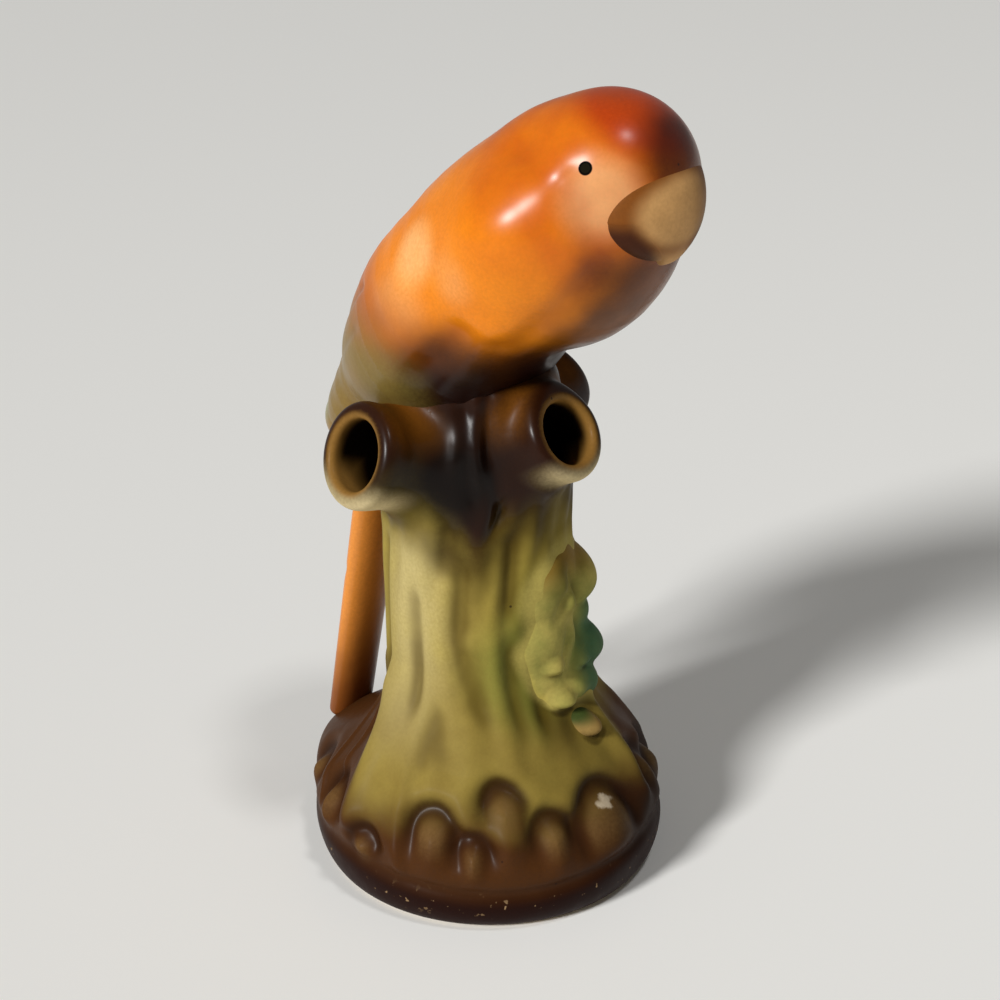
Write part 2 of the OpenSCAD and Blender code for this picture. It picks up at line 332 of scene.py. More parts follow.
def stump_radius(z, flare_z=FLARE_Z):
    """Plain outline of the mound, the flare, the trunk and the crown."""
    mound = FOOT_R + (BASE_R - FOOT_R) * np.sqrt(1 - (1 - np.clip(z / MOUND_Z, 0, 1)) ** 2)
    flare = TRUNK_R + (BASE_R - TRUNK_R) * fall((z - MOUND_Z) / (flare_z - MOUND_Z))
    plain = np.where(z < MOUND_Z, mound, flare)
    return plain + CROWN_SWELL * bell(z - CROWN_Z, 9) - CROWN_TAPER * ramp(z, CROWN_Z + 1, PERCH_Z)


def stump_middle(z):
    """Place of the stump's middle along y, which comes forward at the base."""
    return -BASE_FORWARD * fall(z / FLARE_Z)


def on_bark(turn, z):
    """Point on the plain bark at a turn and height."""
    reach = stump_radius(z)
    return (reach * np.sin(turn * DEGREE), stump_middle(z) - reach * np.cos(turn * DEGREE), z)


def along_bark(turn, at, radius):
    """Distance round the bark from a turn, in millimetres."""
    return ((turn - at + 180) % 360 - 180) * DEGREE * radius


def strip(turn, z, radius, at, lean, low, high, width):
    """Upright strip on the bark that fades at its ends."""
    side = along_bark(turn, at + lean * (z - low), radius)
    return bell(side, width) * ramp(z, low - 3, low + 3) * ramp(z, high + 3, high - 3)


def arch_distance(turn, z, radius, at, top, half):
    """Distance from an arch on the bark, negative under it, and height above its springing."""
    side = along_bark(turn, at, radius)
    up = z - (top - half)
    return np.where(up > 0, np.hypot(side, up), np.abs(side)) - half, up


def knob(turn, z, radius, at, top, half):
    """Round root end that dips under the arched edge of the skirt."""
    ring, up = arch_distance(turn, z, radius, at, top, half)
    crease = bell(ring, np.where(ring < 0, 2.6, 1.8)) * ramp(up, -1.2 * half, 0.6 * half)
    swelling = KNOB_SWELL * ramp(-ring, 0.0, half) * ramp(up, -12, -2)
    lip = KNOB_LIP * bell(ring - 3.2, 2.0) * ramp(up, -1, half)
    return ramp(z, 8, 13) * (swelling - KNOB_CREASE * crease + lip)


def flutes(turn, z):
    """Broad and fine upright waves of the bark."""
    broad = 0.25 * np.cos(9 * turn * DEGREE + 0.12 * z)
    fine = 0.16 * np.cos(23 * turn * DEGREE - 0.09 * z + 1.5 * np.sin(0.15 * z))
    return (broad + fine) * ramp(z, 18, 34) * ramp(z, 80, 66)


def rim_wave(turn):
    """Rise and fall of the rim's edge round the base."""
    return 0.9 * np.sin(3 * turn * DEGREE + 0.6)


def bark_relief(turn, z, radius):
    """Height of the relief over the plain outline of the stump."""
    relief = flutes(turn, z)
    relief = relief + (stump_radius(z, BACK_FLARE_Z) - radius) * ramp(np.abs(turn), 98, 128)
    for at, lean, low, high, width, depth in FURROWS:
        relief = relief - depth * strip(turn, z, radius, at, lean, low, high, width)
    for at, lean, low, high, width, height in RIDGES:
        relief = relief + height * strip(turn, z, radius, at, lean, low, high, width)
    for at, top, half in KNOBS:
        relief = relief + knob(turn, z, radius, at, top, half)
    groove_depth = 0.6 + 0.25 * np.cos(turn * DEGREE + 0.7)
    return relief - groove_depth * bell(z - (RIM_GROOVE_Z + rim_wave(turn)), 1.4)


def stub_axis(name):
    turn, rise = STUBS[name][0] * DEGREE, STUBS[name][1] * DEGREE
    return (np.sin(turn) * np.cos(rise), -np.cos(turn) * np.cos(rise), np.sin(rise))


def stub_place(p, name):
    """Distance along a stub's axis from the meeting point, and distance from that axis."""
    axis = stub_axis(name)
    offset = [p[i] - STUB_MEET[i] for i in range(3)]
    along = sum(o * a for o, a in zip(offset, axis))
    return along, np.sqrt(np.maximum(sum(o * o for o in offset) - along**2, 0))


def bark_place(p):
    """Turn, height, plain radius and distance out of the plain bark at points."""
    x, y, z = p
    behind = y - stump_middle(z)
    radius = stump_radius(z)
    return np.arctan2(x, -behind) / DEGREE, z, radius, np.hypot(x, behind) - radius


def sprig_height(turn, z, radius, swellings=SPRIG):
    """Thickness of the sprig over the bark, negative beside it."""
    height = None
    for at, middle, half_w, up, down, thick in swellings:
        side = along_bark(turn, at, radius)
        rise = z - middle
        part = thick * (1 - (side / half_w) ** 2 - (rise / np.where(rise > 0, up, down)) ** 2)
        height = part if height is None else -join(-height, -part, 1.6)
    for at, lean, low, high, width, rise in VEINS:
        height = height + rise * strip(turn, z, radius, at, lean, low, high, width)
    return height


def sprig(p):
    """Leaves and fruits in one, reaching a little way under the bark."""
    turn, z, radius, out = bark_place(p)
    return np.maximum(SPRIG_EASE * (out - sprig_height(turn, z, radius)), -out - 1.2)


def stump(p):
    """Base, trunk, crown and stubs in one, with the stem holes and a soft rise round the leaves."""
    turn, z, radius, out = bark_place(p)
    heel = HEEL_OUT * bell(180 - np.abs(turn), HEEL_WIDE) * ramp(z, 25, 11)
    form = BARK_EASE * (out - heel - bark_relief(turn, z, radius))
    form = limit(form, z - PERCH_Z, 3.0)
    hollow = apart(p, STUB_MEET) - HOLLOW_R
    for name, (_, _, outer_r, bore_r, mouth) in STUBS.items():
        along, off = stub_place(p, name)
        tube = limit(off - outer_r + 0.5 * ramp(mouth - along, 2, 7), along - mouth, 2.2)
        form = join(form, np.maximum(tube, -along), 4.5)
        hollow = join(hollow, np.maximum(off - bore_r, 2 - along), 1.0)
    leaves = SPRIG_EASE * (out - sprig_height(turn, z, radius, FOLIAGE))
    form = join(form, leaves + 0.45, 2.2)
    return limit(cut(form, hollow, 1.4), -z, 0.8)


# The bird
def smooth_spine():
    """Spine with points added on a smooth curve through the given ones."""
    nodes = np.array(SPINE)
    nodes = np.concatenate([[2 * nodes[0] - nodes[1]], nodes, [2 * nodes[-1] - nodes[-2]]])
    rows = []
    for a, b, c, d in zip(nodes, nodes[1:], nodes[2:], nodes[3:]):
        for t in np.arange(SPINE_PARTS) / SPINE_PARTS:
            curve = 2 * b + (c - a) * t
            curve = curve + (2 * a - 5 * b + 4 * c - d) * t**2
            curve = curve + (3 * b - a - 3 * c + d) * t**3
            rows.append(curve / 2)
    return rows + [nodes[-2]]


SMOOTH_SPINE = smooth_spine()


def spine(p):
    form = None
    for (y0, z0, r0, wide0), (y1, z1, r1, wide1) in zip(SMOOTH_SPINE, SMOOTH_SPINE[1:]):
        part = capsule(p, (0, y0, z0), (0, y1, z1), r0, r1, (wide0 + wide1) / 2)
        form = part if form is None else join(form, part, 0.6)
    return form


def mirrored(p):
    """Points taken to the bird's right side, with no kink along the middle."""
    return (-np.sqrt(p[0] ** 2 + MIDLINE_ROUND**2), p[1], p[2])


def wing_lines(p):
    """Depth of the wing edges and feather lines on the back."""
    seen = (mirrored(p)[0], 0, p[2])
    depth = 0.7 * bell(path_distance(seen, [(x, 0, z) for x, z in WING_EDGE]), 1.3)
    for path in WING_FEATHERS:
        depth = depth + 0.45 * bell(path_distance(seen, [(x, 0, z) for x, z in path]), 1.0)
    return depth * ramp(p[2] + BACK_SLOPE * p[1], 108, 114)


def bird_furrows(p):
    """Depth of the furrows at points."""
    right = mirrored(p)
    side = sum(depth * bell(path_distance(right, path), width) for depth, width, path in BIRD_FURROWS)
    return side + wing_lines(p)


def tail(p):
    """Long tail with a shaft down the middle, grooves beside it and stepped feather tips at the back."""
    side = np.abs(p[0])
    form = capsule(p, TAIL_ROOT, TAIL_TIP, *TAIL_THICK, TAIL_WIDE)
    middle = np.interp(p[2], (TAIL_TIP[2], TAIL_ROOT[2]), (TAIL_TIP[1], TAIL_ROOT[1]))
    behind = ramp(p[1] - middle, 0.5, 2.0)
    form = form + behind * (0.35 * bell(side - 2.7, 0.8) - 0.4 * bell(side, 1.0))
    for height in TAIL_STEPS:
        form = form + 0.35 * behind * bell(p[2] - height - 1.8 * side, 1.0)
    return form


def bird(p):
    """Head, body and tail in one."""
    right = mirrored(p)
    form = spine(p) + bird_furrows(p)
    for height, spread, middle in BIRD_SWELLINGS:
        form = form - height * bell(apart(right, middle), spread)
    return join(form, tail(p), 5.0)


def beak_outline(p):
    """Upright oval on the face, in line with the beak."""
    (x, z), (half_w, half_h) = BEAK_OUTLINE
    return ellipsoid((p[0], 0, p[2]), (x, 0, z), (half_w, 1, half_h))


def mouth_height(p):
    """Height over the mouth line, which climbs to the corners."""
    return p[2] - np.minimum(MOUTH_LOW + MOUTH_SLANT * np.abs(p[0]), MOUTH_CORNER)


def upper_beak(p):
    form = limit(ellipsoid(p, *BEAK_DOME), beak_outline(p) - 1.0 * ramp(p[2], 126, 120), 1.0)
    form = limit(form, -0.72 * mouth_height(p), 0.5)
    return np.maximum(form, p[1] - BEAK_BACK_Y)


def lower_beak(p):
    form = limit(ellipsoid(p, *BEAK_DOME) + 0.06, beak_outline(p), 1.0)
    return np.maximum(limit(form, p[2] - LOWER_BEAK_TOP, 0.5), p[1] - BEAK_BACK_Y)


# Meshes from forms
def grid_values(form, low, high, step):
    """Values of a form on a grid, worked out in full only in the blocks near the surface."""
    block = 4
    margin = 0.6
    counts = np.ceil((high - low) / (step * block)).astype(int)
    centres = [low[i] + step * (block * np.arange(counts[i]) + (block - 1) / 2) for i in range(3)]
    coarse = form(np.meshgrid(*centres, indexing="ij"))
    values = coarse.repeat(block, 0).repeat(block, 1).repeat(block, 2)
    blocks = np.argwhere(np.abs(coarse) < step * block + margin)
    inside = np.arange(block)
    i = (blocks[:, 0, None] * block + inside)[:, :, None, None]
    j = (blocks[:, 1, None] * block + inside)[:, None, :, None]
    k = (blocks[:, 2, None] * block + inside)[:, None, None, :]
    places = [(low[n] + step * index).astype(np.float32) for n, index in enumerate((i, j, k))]
    values[i, j, k] = form(places)
    return values


def cell_points(values, cells):
    """Mean of the places where a cell's edges cross the surface, in cell units."""
    total = np.zeros((len(cells), 3))
    hits = np.zeros(len(cells))
    corners = [(a, b, c) for a in (0, 1) for b in (0, 1) for c in (0, 1)]
    for axis in range(3):
        for corner in corners:
            if corner[axis]:
                continue
            ahead = np.array(corner)
            ahead[axis] = 1
            first = values[tuple((cells + corner).T)]
            second = values[tuple((cells + ahead).T)]
            crossing = (first < 0) != (second < 0)
            place = np.tile(np.array(corner, float), (len(cells), 1))
            place[:, axis] = first / np.where(crossing, first - second, 1)
            total += place * crossing[:, None]
            hits += crossing
    return total / hits[:, None]


def surface_net(values):
    """One point in each cell that the surface crosses, and four-sided faces between them."""
    inside = values < 0
    shape = np.array(values.shape) - 1
    count = sum(
        inside[a : a + shape[0], b : b + shape[1], c : c + shape[2]].astype(np.int8)
        for a in (0, 1) for b in (0, 1) for c in (0, 1)
    )
    cells = np.argwhere((count > 0) & (count < 8))
    index = np.zeros(shape, int)
    index[tuple(cells.T)] = np.arange(len(cells))
    faces = []
    for axis in range(3):
        across, over = np.eye(3, dtype=int)[(axis + 1) % 3], np.eye(3, dtype=int)[(axis + 2) % 3]
        change = np.diff(inside.astype(np.int8), axis=axis)
        edges = np.argwhere(change)
        ring = [edges - across - over, edges - over, edges, edges - across]
        quads = np.stack([index[tuple(corner.T)] for corner in ring], 1)
        outward = change[tuple(edges.T)] > 0
        quads[outward] = quads[outward][:, ::-1]
        faces.append(quads)
    return cells + cell_points(values, cells), np.concatenate(faces)


def slopes(form, points):
    """Gradient of a form at points."""
    reach = 0.05
    columns = []
    for axis in np.eye(3) * reach:
        columns.append((form((points + axis).T) - form((points - axis).T)) / (2 * reach))
    return np.stack(columns, 1)


def surface(form, low, high, step):
    """Triangles on the surface of a form, with their points drawn onto it."""
    low, high = np.array(low, float), np.array(high, float)
    points, quads = surface_net(grid_values(form, low, high, step))
    points = low + step * points
    for _ in range(2):
        gradient = slopes(form, points)
        move = form(points.T) / (gradient**2).sum(1)
        points -= np.clip(move, -step, step)[:, None] * gradient
    return points, np.concatenate([quads[:, [0, 1, 2]], quads[:, [0, 2, 3]]])


def kept_part(points, triangles):
    """Mesh with only the points that its triangles use."""
    used, renumbered = np.unique(triangles, return_inverse=True)
    return points[used], renumbered.reshape(-1, 3)


def split(mesh, side):
    """Cuts a mesh where side(points) is zero, into the part below and the part above."""
    points, triangles = mesh
    value = side(points.T)
    above = value > 0
    count = above[triangles].sum(1)
    mixed = triangles[(count == 1) | (count == 2)]
    lone_sign = above[mixed].sum(1) == 1
    first = np.argmax(above[mixed] == lone_sign[:, None], axis=1)
    rows = np.arange(len(mixed))
    a, b, c = (mixed[rows, (first + n) % 3] for n in range(3))
    edges = np.sort(np.concatenate([np.stack([a, b], 1), np.stack([a, c], 1)]), axis=1)
    unique, place = np.unique(edges, axis=0, return_inverse=True)
    place = place.reshape(-1) + len(points)
    ends = value[unique]
    share = (ends[:, 0] / (ends[:, 0] - ends[:, 1]))[:, None]
    points = np.concatenate([points, points[unique[:, 0]] * (1 - share) + points[unique[:, 1]] * share])
    ab, ac = place[: len(mixed)], place[len(mixed) :]
    tips = np.stack([a, ab, ac], 1)
    rests = np.concatenate([np.stack([ab, b, c], 1), np.stack([ab, c, ac], 1)])
    twice = np.concatenate([lone_sign, lone_sign])
    below = np.concatenate([triangles[count == 0], tips[~lone_sign], rests[twice]])
    higher = np.concatenate([triangles[count == 3], tips[lone_sign], rests[~twice]])
    return kept_part(points, below), kept_part(points, higher)


def closed_mesh(name, mesh, normals, cuts):
    """Blender mesh with its cuts closed and its shading taken from the form."""
    on_cut = 0.001
    points, triangles = mesh
    data = bpy.data.meshes.new(name)
    data.from_pydata((points * MM).tolist(), [], triangles.tolist())
    work = bmesh.new()
    work.from_mesh(data)
    for side, outward in cuts:
        near = np.abs(side(points.T)) < on_cut
        open_edges = [edge for edge in work.edges if edge.is_boundary]
        rim = [edge for edge in open_edges if all(near[v.index] for v in edge.verts)]
        bmesh.ops.triangle_fill(work, edges=rim, normal=outward, use_beauty=False, use_dissolve=False)
    work.to_mesh(data)
    work.free()
    data.shade_smooth()
    data.normals_split_custom_set_from_vertices(normals.tolist())
    return data


# Airbrushed colour and painted light and shade, as masks from 0 to 1 over the points of a mesh
# Numbers in a mask are places in millimetres, turns in degrees and the strength of the spray
PEACH_SPOTS = [
    (0.5, (-19, -3, 117), 5),
    (0.25, (-19.5, 0, 107), 6),
    (0.2, (-19, -13, 115), 4),
    (1.0, (-11.8, -35, 129.5), 6),
]


def spot(p, middle, radius):
    """Soft round spot of spray, on both sides of the bird."""
    return ramp(apart((-np.abs(p[0]), p[1], p[2]), middle), radius * 1.5, radius * 0.4)


def peach_mask(p):
    total = sum(strength * spot(p, middle, radius) for strength, middle, radius in PEACH_SPOTS)
    return np.clip(total, 0, 0.9)


# Painted shade: deeper orange along the furrows and wing lines of the bird, where shade falls.
def furrow_shade_mask(p):
    return 0.5 * ramp(bird_furrows(p), 0.3, 1.6)


def red_mask(p):
    cap = ramp(apart(p, (0, -33, 140)), 15, 7)
    nape = ramp(p[2] - 0.7 * p[1], 128, 146) * ramp(p[1], 10, -10)
    return np.maximum(cap, 0.5 * nape)


# Dark brown spray on the forehead, partly painted shade.
def forehead_brown_and_shade_mask(p):
    return 0.85 * ramp(apart(p, (1.5, -41, 134)), 12, 5)


# Dark brown on the front of the breast: partly its own tan-brown, mostly painted shade where it faces away
# from the light.
def breast_shade_mask(p):
    front = ramp(p[1] + 0.7 * (p[2] - 108), -14, -27) * ramp(np.abs(p[0]), 17, 8)
    return 0.8 * front * ramp(p[2], 126, 117)


# Brown spray and painted shade under the belly.
def belly_brown_and_shade_mask(p):
    return ramp(p[2] + 0.15 * p[1], 104, 93) * ramp(p[1], 12, 0)


def flank_mask(p):
    return 0.85 * ramp(p[2] - 0.4 * p[1], 114, 100)


# Painted shadow under the lower edge of the wing, over the thigh.
def thigh_shadow_mask(p):
    return 0.8 * spot(p, (-15.5, -9, 97), 8.5)


def rump_mask(p):
    return 0.9 * ramp(p[2] - 0.2 * p[1], 107, 93) * ramp(p[1], -6, 5)


def mint_mask(p):
    return 0.8 * ramp(p[1], 24, 30) * ramp(p[2], 70, 80) * ramp(p[2], 112, 96)


def back_mask(p):
    """Darker feather marks along the middle of the back."""
    marks = 0.65 + 0.35 * np.sin(0.6 * p[2] + 0.5 * p[0])
    behind = ramp(p[2] + BACK_SLOPE * p[1], 110, 116)
    return 0.6 * marks * bell(p[0], 6) * behind * ramp(p[2], 96, 106)


def tail_mask(p):
    return ramp(p[2], 80, 66) * ramp(p[1], 12, 16)


def tail_foot_mask(p):
    return 0.9 * ramp(p[2], 42, 15) * ramp(p[1], 12, 16)


ORANGE = "ec8610"
ORANGE_CLOUD = ("cc6a10", 0.3)
BIRD_LAYERS = [
    (peach_mask, "fdca88"),
    (flank_mask, "a24e05"),
    # painted shade along the furrows
    (furrow_shade_mask, "b85406"),
    (red_mask, "b03c04"),
    (back_mask, "983c06"),
    # breast, mostly painted shade
    (breast_shade_mask, "301c02"),
    # painted shadow over the thigh
    (thigh_shadow_mask, "4c2804"),
    # brown and painted shade under the belly
    (belly_brown_and_shade_mask, "1e0903"),
    (rump_mask, "7c6a34"),
    (mint_mask, "a8b292"),
    (tail_mask, "e08c3a"),
    (tail_foot_mask, "743c18"),
    # dark brown forehead, partly painted shade
    (forehead_brown_and_shade_mask, "260602"),
]


def groove_mask(p):
    return 0.65 * ramp(-bark_relief(*bark_place(p)[:3]), 0.1, 1.2) * ramp(p[2], 9, 14)


def trunk_shade_mask(p):
    turn = bark_place(p)[0]
    return 0.7 * ramp(turn, -90, -5) * ramp(turn, 120, 60) + 0.5 * ramp(np.abs(turn), 100, 125)


# Painted light: paler khaki and highlight on the trunk's side that faces the lamp.
def trunk_lit_mask(p):
    turn, z, radius, _ = bark_place(p)
    return 0.6 * bell(along_bark(turn, -92, radius), 7) * ramp(z, 22, 34) * ramp(z, 70, 62)


def skirt_mask(p):
    return 0.6 * ramp(p[2], 52, 26)


def crown_edge(p):
    """Height of the crown's ragged lower edge."""
    angle = np.arctan2(p[0], -p[1])
    wave = 2.5 * np.sin(3 * angle + 1) + 1.6 * np.sin(8 * angle) + 1.0 * np.sin(17 * angle)
    return 71 + wave + 6 * bell(angle + 1.36, 0.3) - 4 * bell(angle + 0.82, 0.22)


def crown_fade_mask(p):
    return 0.75 * ramp(p[2], crown_edge(p) - 13, crown_edge(p) - 1)


def crown_mask(p):
    return ramp(p[2], crown_edge(p) - 5, crown_edge(p) + 6)


def crown_dark_mask(p):
    turn, z, radius, _ = bark_place(p)
    total = sum(bell(along_bark(turn, gap, radius), 8) for gap in STUB_GAPS)
    return 0.95 * np.clip(1.3 * total * bell(z - 78, 9), 0, 1)


def over_axis(p, along, rise):
    """Height over a stub's axis of points at a distance along it."""
    return p[2] - STUB_MEET[2] - along * np.sin(rise * DEGREE)


def amber_and_light_mask(p):
    """Warm amber tops of the stubs, partly painted light where the tops face the lamp."""
    total = 0
    for name, (_, rise, _, _, mouth) in STUBS.items():
        along, off = stub_place(p, name)
        length = ramp(along, 9, 16) * ramp(along, mouth, mouth - 4)
        total = total + length * ramp(over_axis(p, along, rise), 0, 7) * ramp(off, 14, 9)
    return 0.75 * np.clip(total, 0, 1)


# Painted shadow on the trunk under the overhanging crown, below the right stub.
def overhang_shadow_mask(p):
    turn, z, radius, _ = bark_place(p)
    return 0.6 * bell(along_bark(turn, -70, radius), 6) * bell(z - 64 + 0.1 * (turn + 70), 3.5)


def stub_pale_mask(p):
    """Pale undersides of the stubs."""
    total = 0
    for name, (_, rise, _, _, mouth) in STUBS.items():
        along, off = stub_place(p, name)
        length = ramp(along, 16, 23) * ramp(along, mouth + 1, mouth - 1)
        total = total + length * ramp(over_axis(p, along, rise), -2, -7) * ramp(off, 14, 9)
    return 0.9 * np.clip(total, 0, 1)


def in_bore(along, off, bore_r):
    """Near the wall of a stem hole."""
    return ramp(along, 8, 12) * ramp(off, bore_r + 1.6, bore_r + 0.4)


def bore_mask(p):
    total = 0
    for name, (_, _, _, bore_r, _) in STUBS.items():
        along, off = stub_place(p, name)
        total = total + in_bore(along, off, bore_r)
    return np.clip(total, 0, 1)


def hollow_shade_mask(p):
    """Painted shade inside the stump and the stem holes, starting further in along their floors."""
    total = ramp(apart(p, STUB_MEET), HOLLOW_R + 3, HOLLOW_R)
    for name, (_, rise, _, bore_r, mouth) in STUBS.items():
        along, off = stub_place(p, name)
        roof = ramp(over_axis(p, along, rise), -5, -1) * ramp(along, mouth - 0.5, mouth - 3)
        deep = np.maximum(ramp(along, mouth - 3, mouth - 8), roof)
        total = total + in_bore(along, off, bore_r) * deep
    return np.clip(total, 0, 1)


def knob_arches(p):
    """Half width of each knob's arch, distance of points from it and height above its springing."""
    turn, z, radius, _ = bark_place(p)
    return [(half, *arch_distance(turn, z, radius, at, top, half)) for at, top, half in KNOBS]


def base_mask(p):
    turn, z, _, _ = bark_place(p)
    edge = 19 + 1.2 * np.sin(5 * turn * DEGREE + 0.5)
    edge = edge + 10 * ramp(turn, -100, -113) + 9 * ramp(turn, 22, 34)
    brown = ramp(z, edge + 5, edge - 4)
    for _, ring, up in knob_arches(p):
        brown = np.maximum(brown, 0.75 * ramp(ring, 2.0, -0.8) * ramp(up, -9, -3))
    return brown


# Dark brown on the side of the base away from the lamp: partly its own dark glaze, partly painted shade.
def base_dark_and_shade_mask(p):
    turn, z, _, _ = bark_place(p)
    return 0.75 * ramp(turn, -30, 20) * ramp(turn, 150, 100) * ramp(z, 23, 15)


def arch_shade_mask(p):
    """Painted shade in the creases over the knobs."""
    total = 0
    for half, ring, up in knob_arches(p):
        total = np.maximum(total, bell(ring - 0.3, 1.3) * ramp(up, -half, 0.6 * half))
    return 0.75 * total


def knob_light_mask(p):
    """Painted light on the paler tops of the knobs."""
    total = 0
    for _, ring, up in knob_arches(p):
        total = np.maximum(total, ramp(ring, -0.6, -2.6) * ramp(up, -4, 1.5))
    return 0.35 * total


def rim_mask(p):
    edge = 7.5 + rim_wave(np.arctan2(p[0], -p[1]) / DEGREE)
    return ramp(p[2], edge + 3, edge - 2)


def foot_mask(p):
    return ramp(p[2], 0.7, 0.2)


def green_mask(p):
    return 0.6 * ramp(apart(p, on_bark(-10, 42)), 16, 5)


def sprig_shade_mask(p):
    turn, z, radius, _ = bark_place(p)
    return 0.6 * bell(along_bark(turn, -14, radius), 5) * ramp(z, 26, 35) * ramp(z, 66, 54)


def bud_shade_mask(p):
    turn, z, radius, _ = bark_place(p)
    return 0.7 * bell(along_bark(turn, -3, radius), 4.5) * bell(z - 30, 4)


def sprig_halo_mask(p):
    """Leaf colour on the bark close round the leaves."""
    return 0.8 * ramp(sprig_height(*bark_place(p)[:3], FOLIAGE), -1.6, 0.2)


def sprig_under_shadow_mask(p):
    """Painted shadow under the edges of leaves and fruits."""
    turn, z, radius, _ = bark_place(p)
    above = sprig_height(turn, z + 1.3, radius)
    return 0.65 * ramp(above - sprig_height(turn, z, radius), 0.6, 2.2) * ramp(above, -0.6, 0.4)


def chip_mask(p):
    ragged = 0.35 * np.sin(3.1 * p[0]) + 0.3 * np.sin(4.3 * p[2] + 2.0 * p[0])
    flattened = (p[0], p[1], CHIP[2] + 1.5 * (p[2] - CHIP[2]))
    return 0.8 * ramp(apart(flattened, CHIP) + ragged, CHIP_R, CHIP_R - 0.6)


KHAKI = "a69246"
LEAF_YELLOW = "b2a256"
LEAF_CLOUD = ("55682c", 0.6)
# Colour of the painted shadow under leaves, fruits and the bud
SPRIG_UNDER_SHADOW = "3a2c0c"
STUMP_LAYERS = [
    (trunk_shade_mask, "86762e"),
    # painted light on the trunk's lit side
    (trunk_lit_mask, "ccbc84"),
    (skirt_mask, "78642e"),
    (green_mask, "747e36"),
    (sprig_shade_mask, "4c4c18"),
    (bud_shade_mask, "4a3a14"),
    (groove_mask, "4c3a0a"),
    (sprig_halo_mask, LEAF_YELLOW),
    # painted shadow under the leaves
    (sprig_under_shadow_mask, SPRIG_UNDER_SHADOW),
    # painted shadow under the crown's overhang
    (overhang_shadow_mask, "3a2c14"),
    (crown_fade_mask, "4c3c12"),
    (crown_mask, "2a1205"),
    # amber stub tops, partly painted light
    (amber_and_light_mask, "7c4a12"),
    (crown_dark_mask, "0a0402"),
    (stub_pale_mask, "dac696"),
    (bore_mask, "86622e"),
    # painted shade inside the holes
    (hollow_shade_mask, "0c0502"),
    (base_mask, "482a12"),
    # dark base side, partly painted shade
    (base_dark_and_shade_mask, "140702"),
    # painted light on the knob tops
    (knob_light_mask, "86683e"),
    # painted shade in the arch creases
    (arch_shade_mask, "241005"),
    (rim_mask, "200903"),
    (chip_mask, "c8b89e"),
    (foot_mask, "d4c2a4"),
]


def sprig_tip_mask(p):
    return 0.75 * ramp(p[0] - 0.25 * (p[2] - 46), 6, 12) * ramp(p[2], 54, 44)


def sprig_green_mask(p):
    return 0.6 * ramp(p[0] - 0.15 * (p[2] - 46), 3, 9) * ramp(p[2], 58, 46)


def leaf_top_mask(p):
    return 0.75 * ramp(p[2], 53, 60)


# Painted shade in the hollow beside the rib of the upper leaf.
def leaf_hollow_shade_mask(p):
    turn, z, radius, _ = bark_place(p)
    return 0.65 * bell(along_bark(turn, 5, radius), 2.6) * bell(z - 56, 4)


LEAF_LAYERS = [
    (sprig_green_mask, "6f8038"),
    (leaf_top_mask, "7c5418"),
    # painted shade in the leaf's hollow
    (leaf_hollow_shade_mask, "56561e"),
    (sprig_tip_mask, "2e5a46"),
    # painted shadow under the leaves and fruits
    (sprig_under_shadow_mask, SPRIG_UNDER_SHADOW),
]


def bud_cap_mask(p):
    return ramp(p[2] - 0.3 * p[0], 28, 30)


BUD_TAN = "947a46"
# The bud's second layer is painted shadow under its edge.
BUD_LAYERS = [(bud_cap_mask, "3a461e"), (sprig_under_shadow_mask, SPRIG_UNDER_SHADOW)]


def beak_band_mask(p):
    return ramp(beak_outline(p), -4.2, -1.4) * ramp(p[2], 118, 122)


# Brown of the lower beak, and painted shade on the beak's side towards +X, away from the lamp.
def beak_low_and_shade_mask(p):
    return np.maximum(0.95 * ramp(mouth_height(p), 1.4, -1.8), 0.6 * ramp(p[0], 0, 6))


BEAK_TAN = "cc9c62"
# The lower beak's layer also paints shade on the beak's side towards +X.
BEAK_LAYERS = [(beak_band_mask, "7c4614"), (beak_low_and_shade_mask, "3c1a08")]

# Paint of the eyes, and colours that the glaze takes in places
EYE_RING = "050402"
EYE_DOT = "16140a"
CLAY_CLOUD = ("6a4a1c", 0.25)
THIN_GLAZE = "e8d6a8"
POOLED_GLAZE = "5a2c10"
GRAIN = "50300c"
PINHOLE = "20100a"
BARE_FLECK = "b09068"

# Sheens, as specular level, roughness of dark and of pale glaze, coat of dark and of pale glaze
BIRD_SHINE = (0.08, 0.3, 0.34, 0.36, 0.36)
BARK_SHINE = (0.06, 0.45, 0.6, 0.0, 0.0)
BASE_SHINE = (0.04, 0.4, 0.58, 0.06, 0.01)
CROWN_SHINE = (0.05, 0.36, 0.5, 0.2, 0.03)
BEAK_SHINE = (0.15, 0.5, 0.55, 0.0, 0.0)
COAT_ROUGHNESS = 0.25

# Scales of the patterns in the glaze, which grow finer as the number grows
CLOUD_SCALE = 160.0
GRAIN_SCALE = 1800.0
PINHOLE_SCALE = 140.0
FLECK_SCALE = 700.0
WAVE_SCALE = 240.0


# Materials
def paint(code):
    """Linear colour from a screen colour code."""
    parts = [int(code[i : i + 2], 16) / 255 for i in (0, 2, 4)]
    return [c / 12.92 if c < 0.04 else ((c + 0.055) / 1.055) ** 2.4 for c in parts] + [1]


def add(tree, kind, inputs, **settings):
    """New node with its settings, its input values and its links."""
    made = tree.nodes.new("ShaderNode" + kind)
    for name, value in settings.items():
        setattr(made, name, value)
    for key, value in inputs.items():
        if isinstance(value, bpy.types.NodeSocket):
            tree.links.new(value, made.inputs[key])
        else:
            made.inputs[key].default_value = value
    return made


def mix(tree, share, first, second, kind="MIX"):
    made = add(tree, "Mix", {0: share, 6: first, 7: second}, data_type="RGBA", blend_type=kind)
    return made.outputs[2]


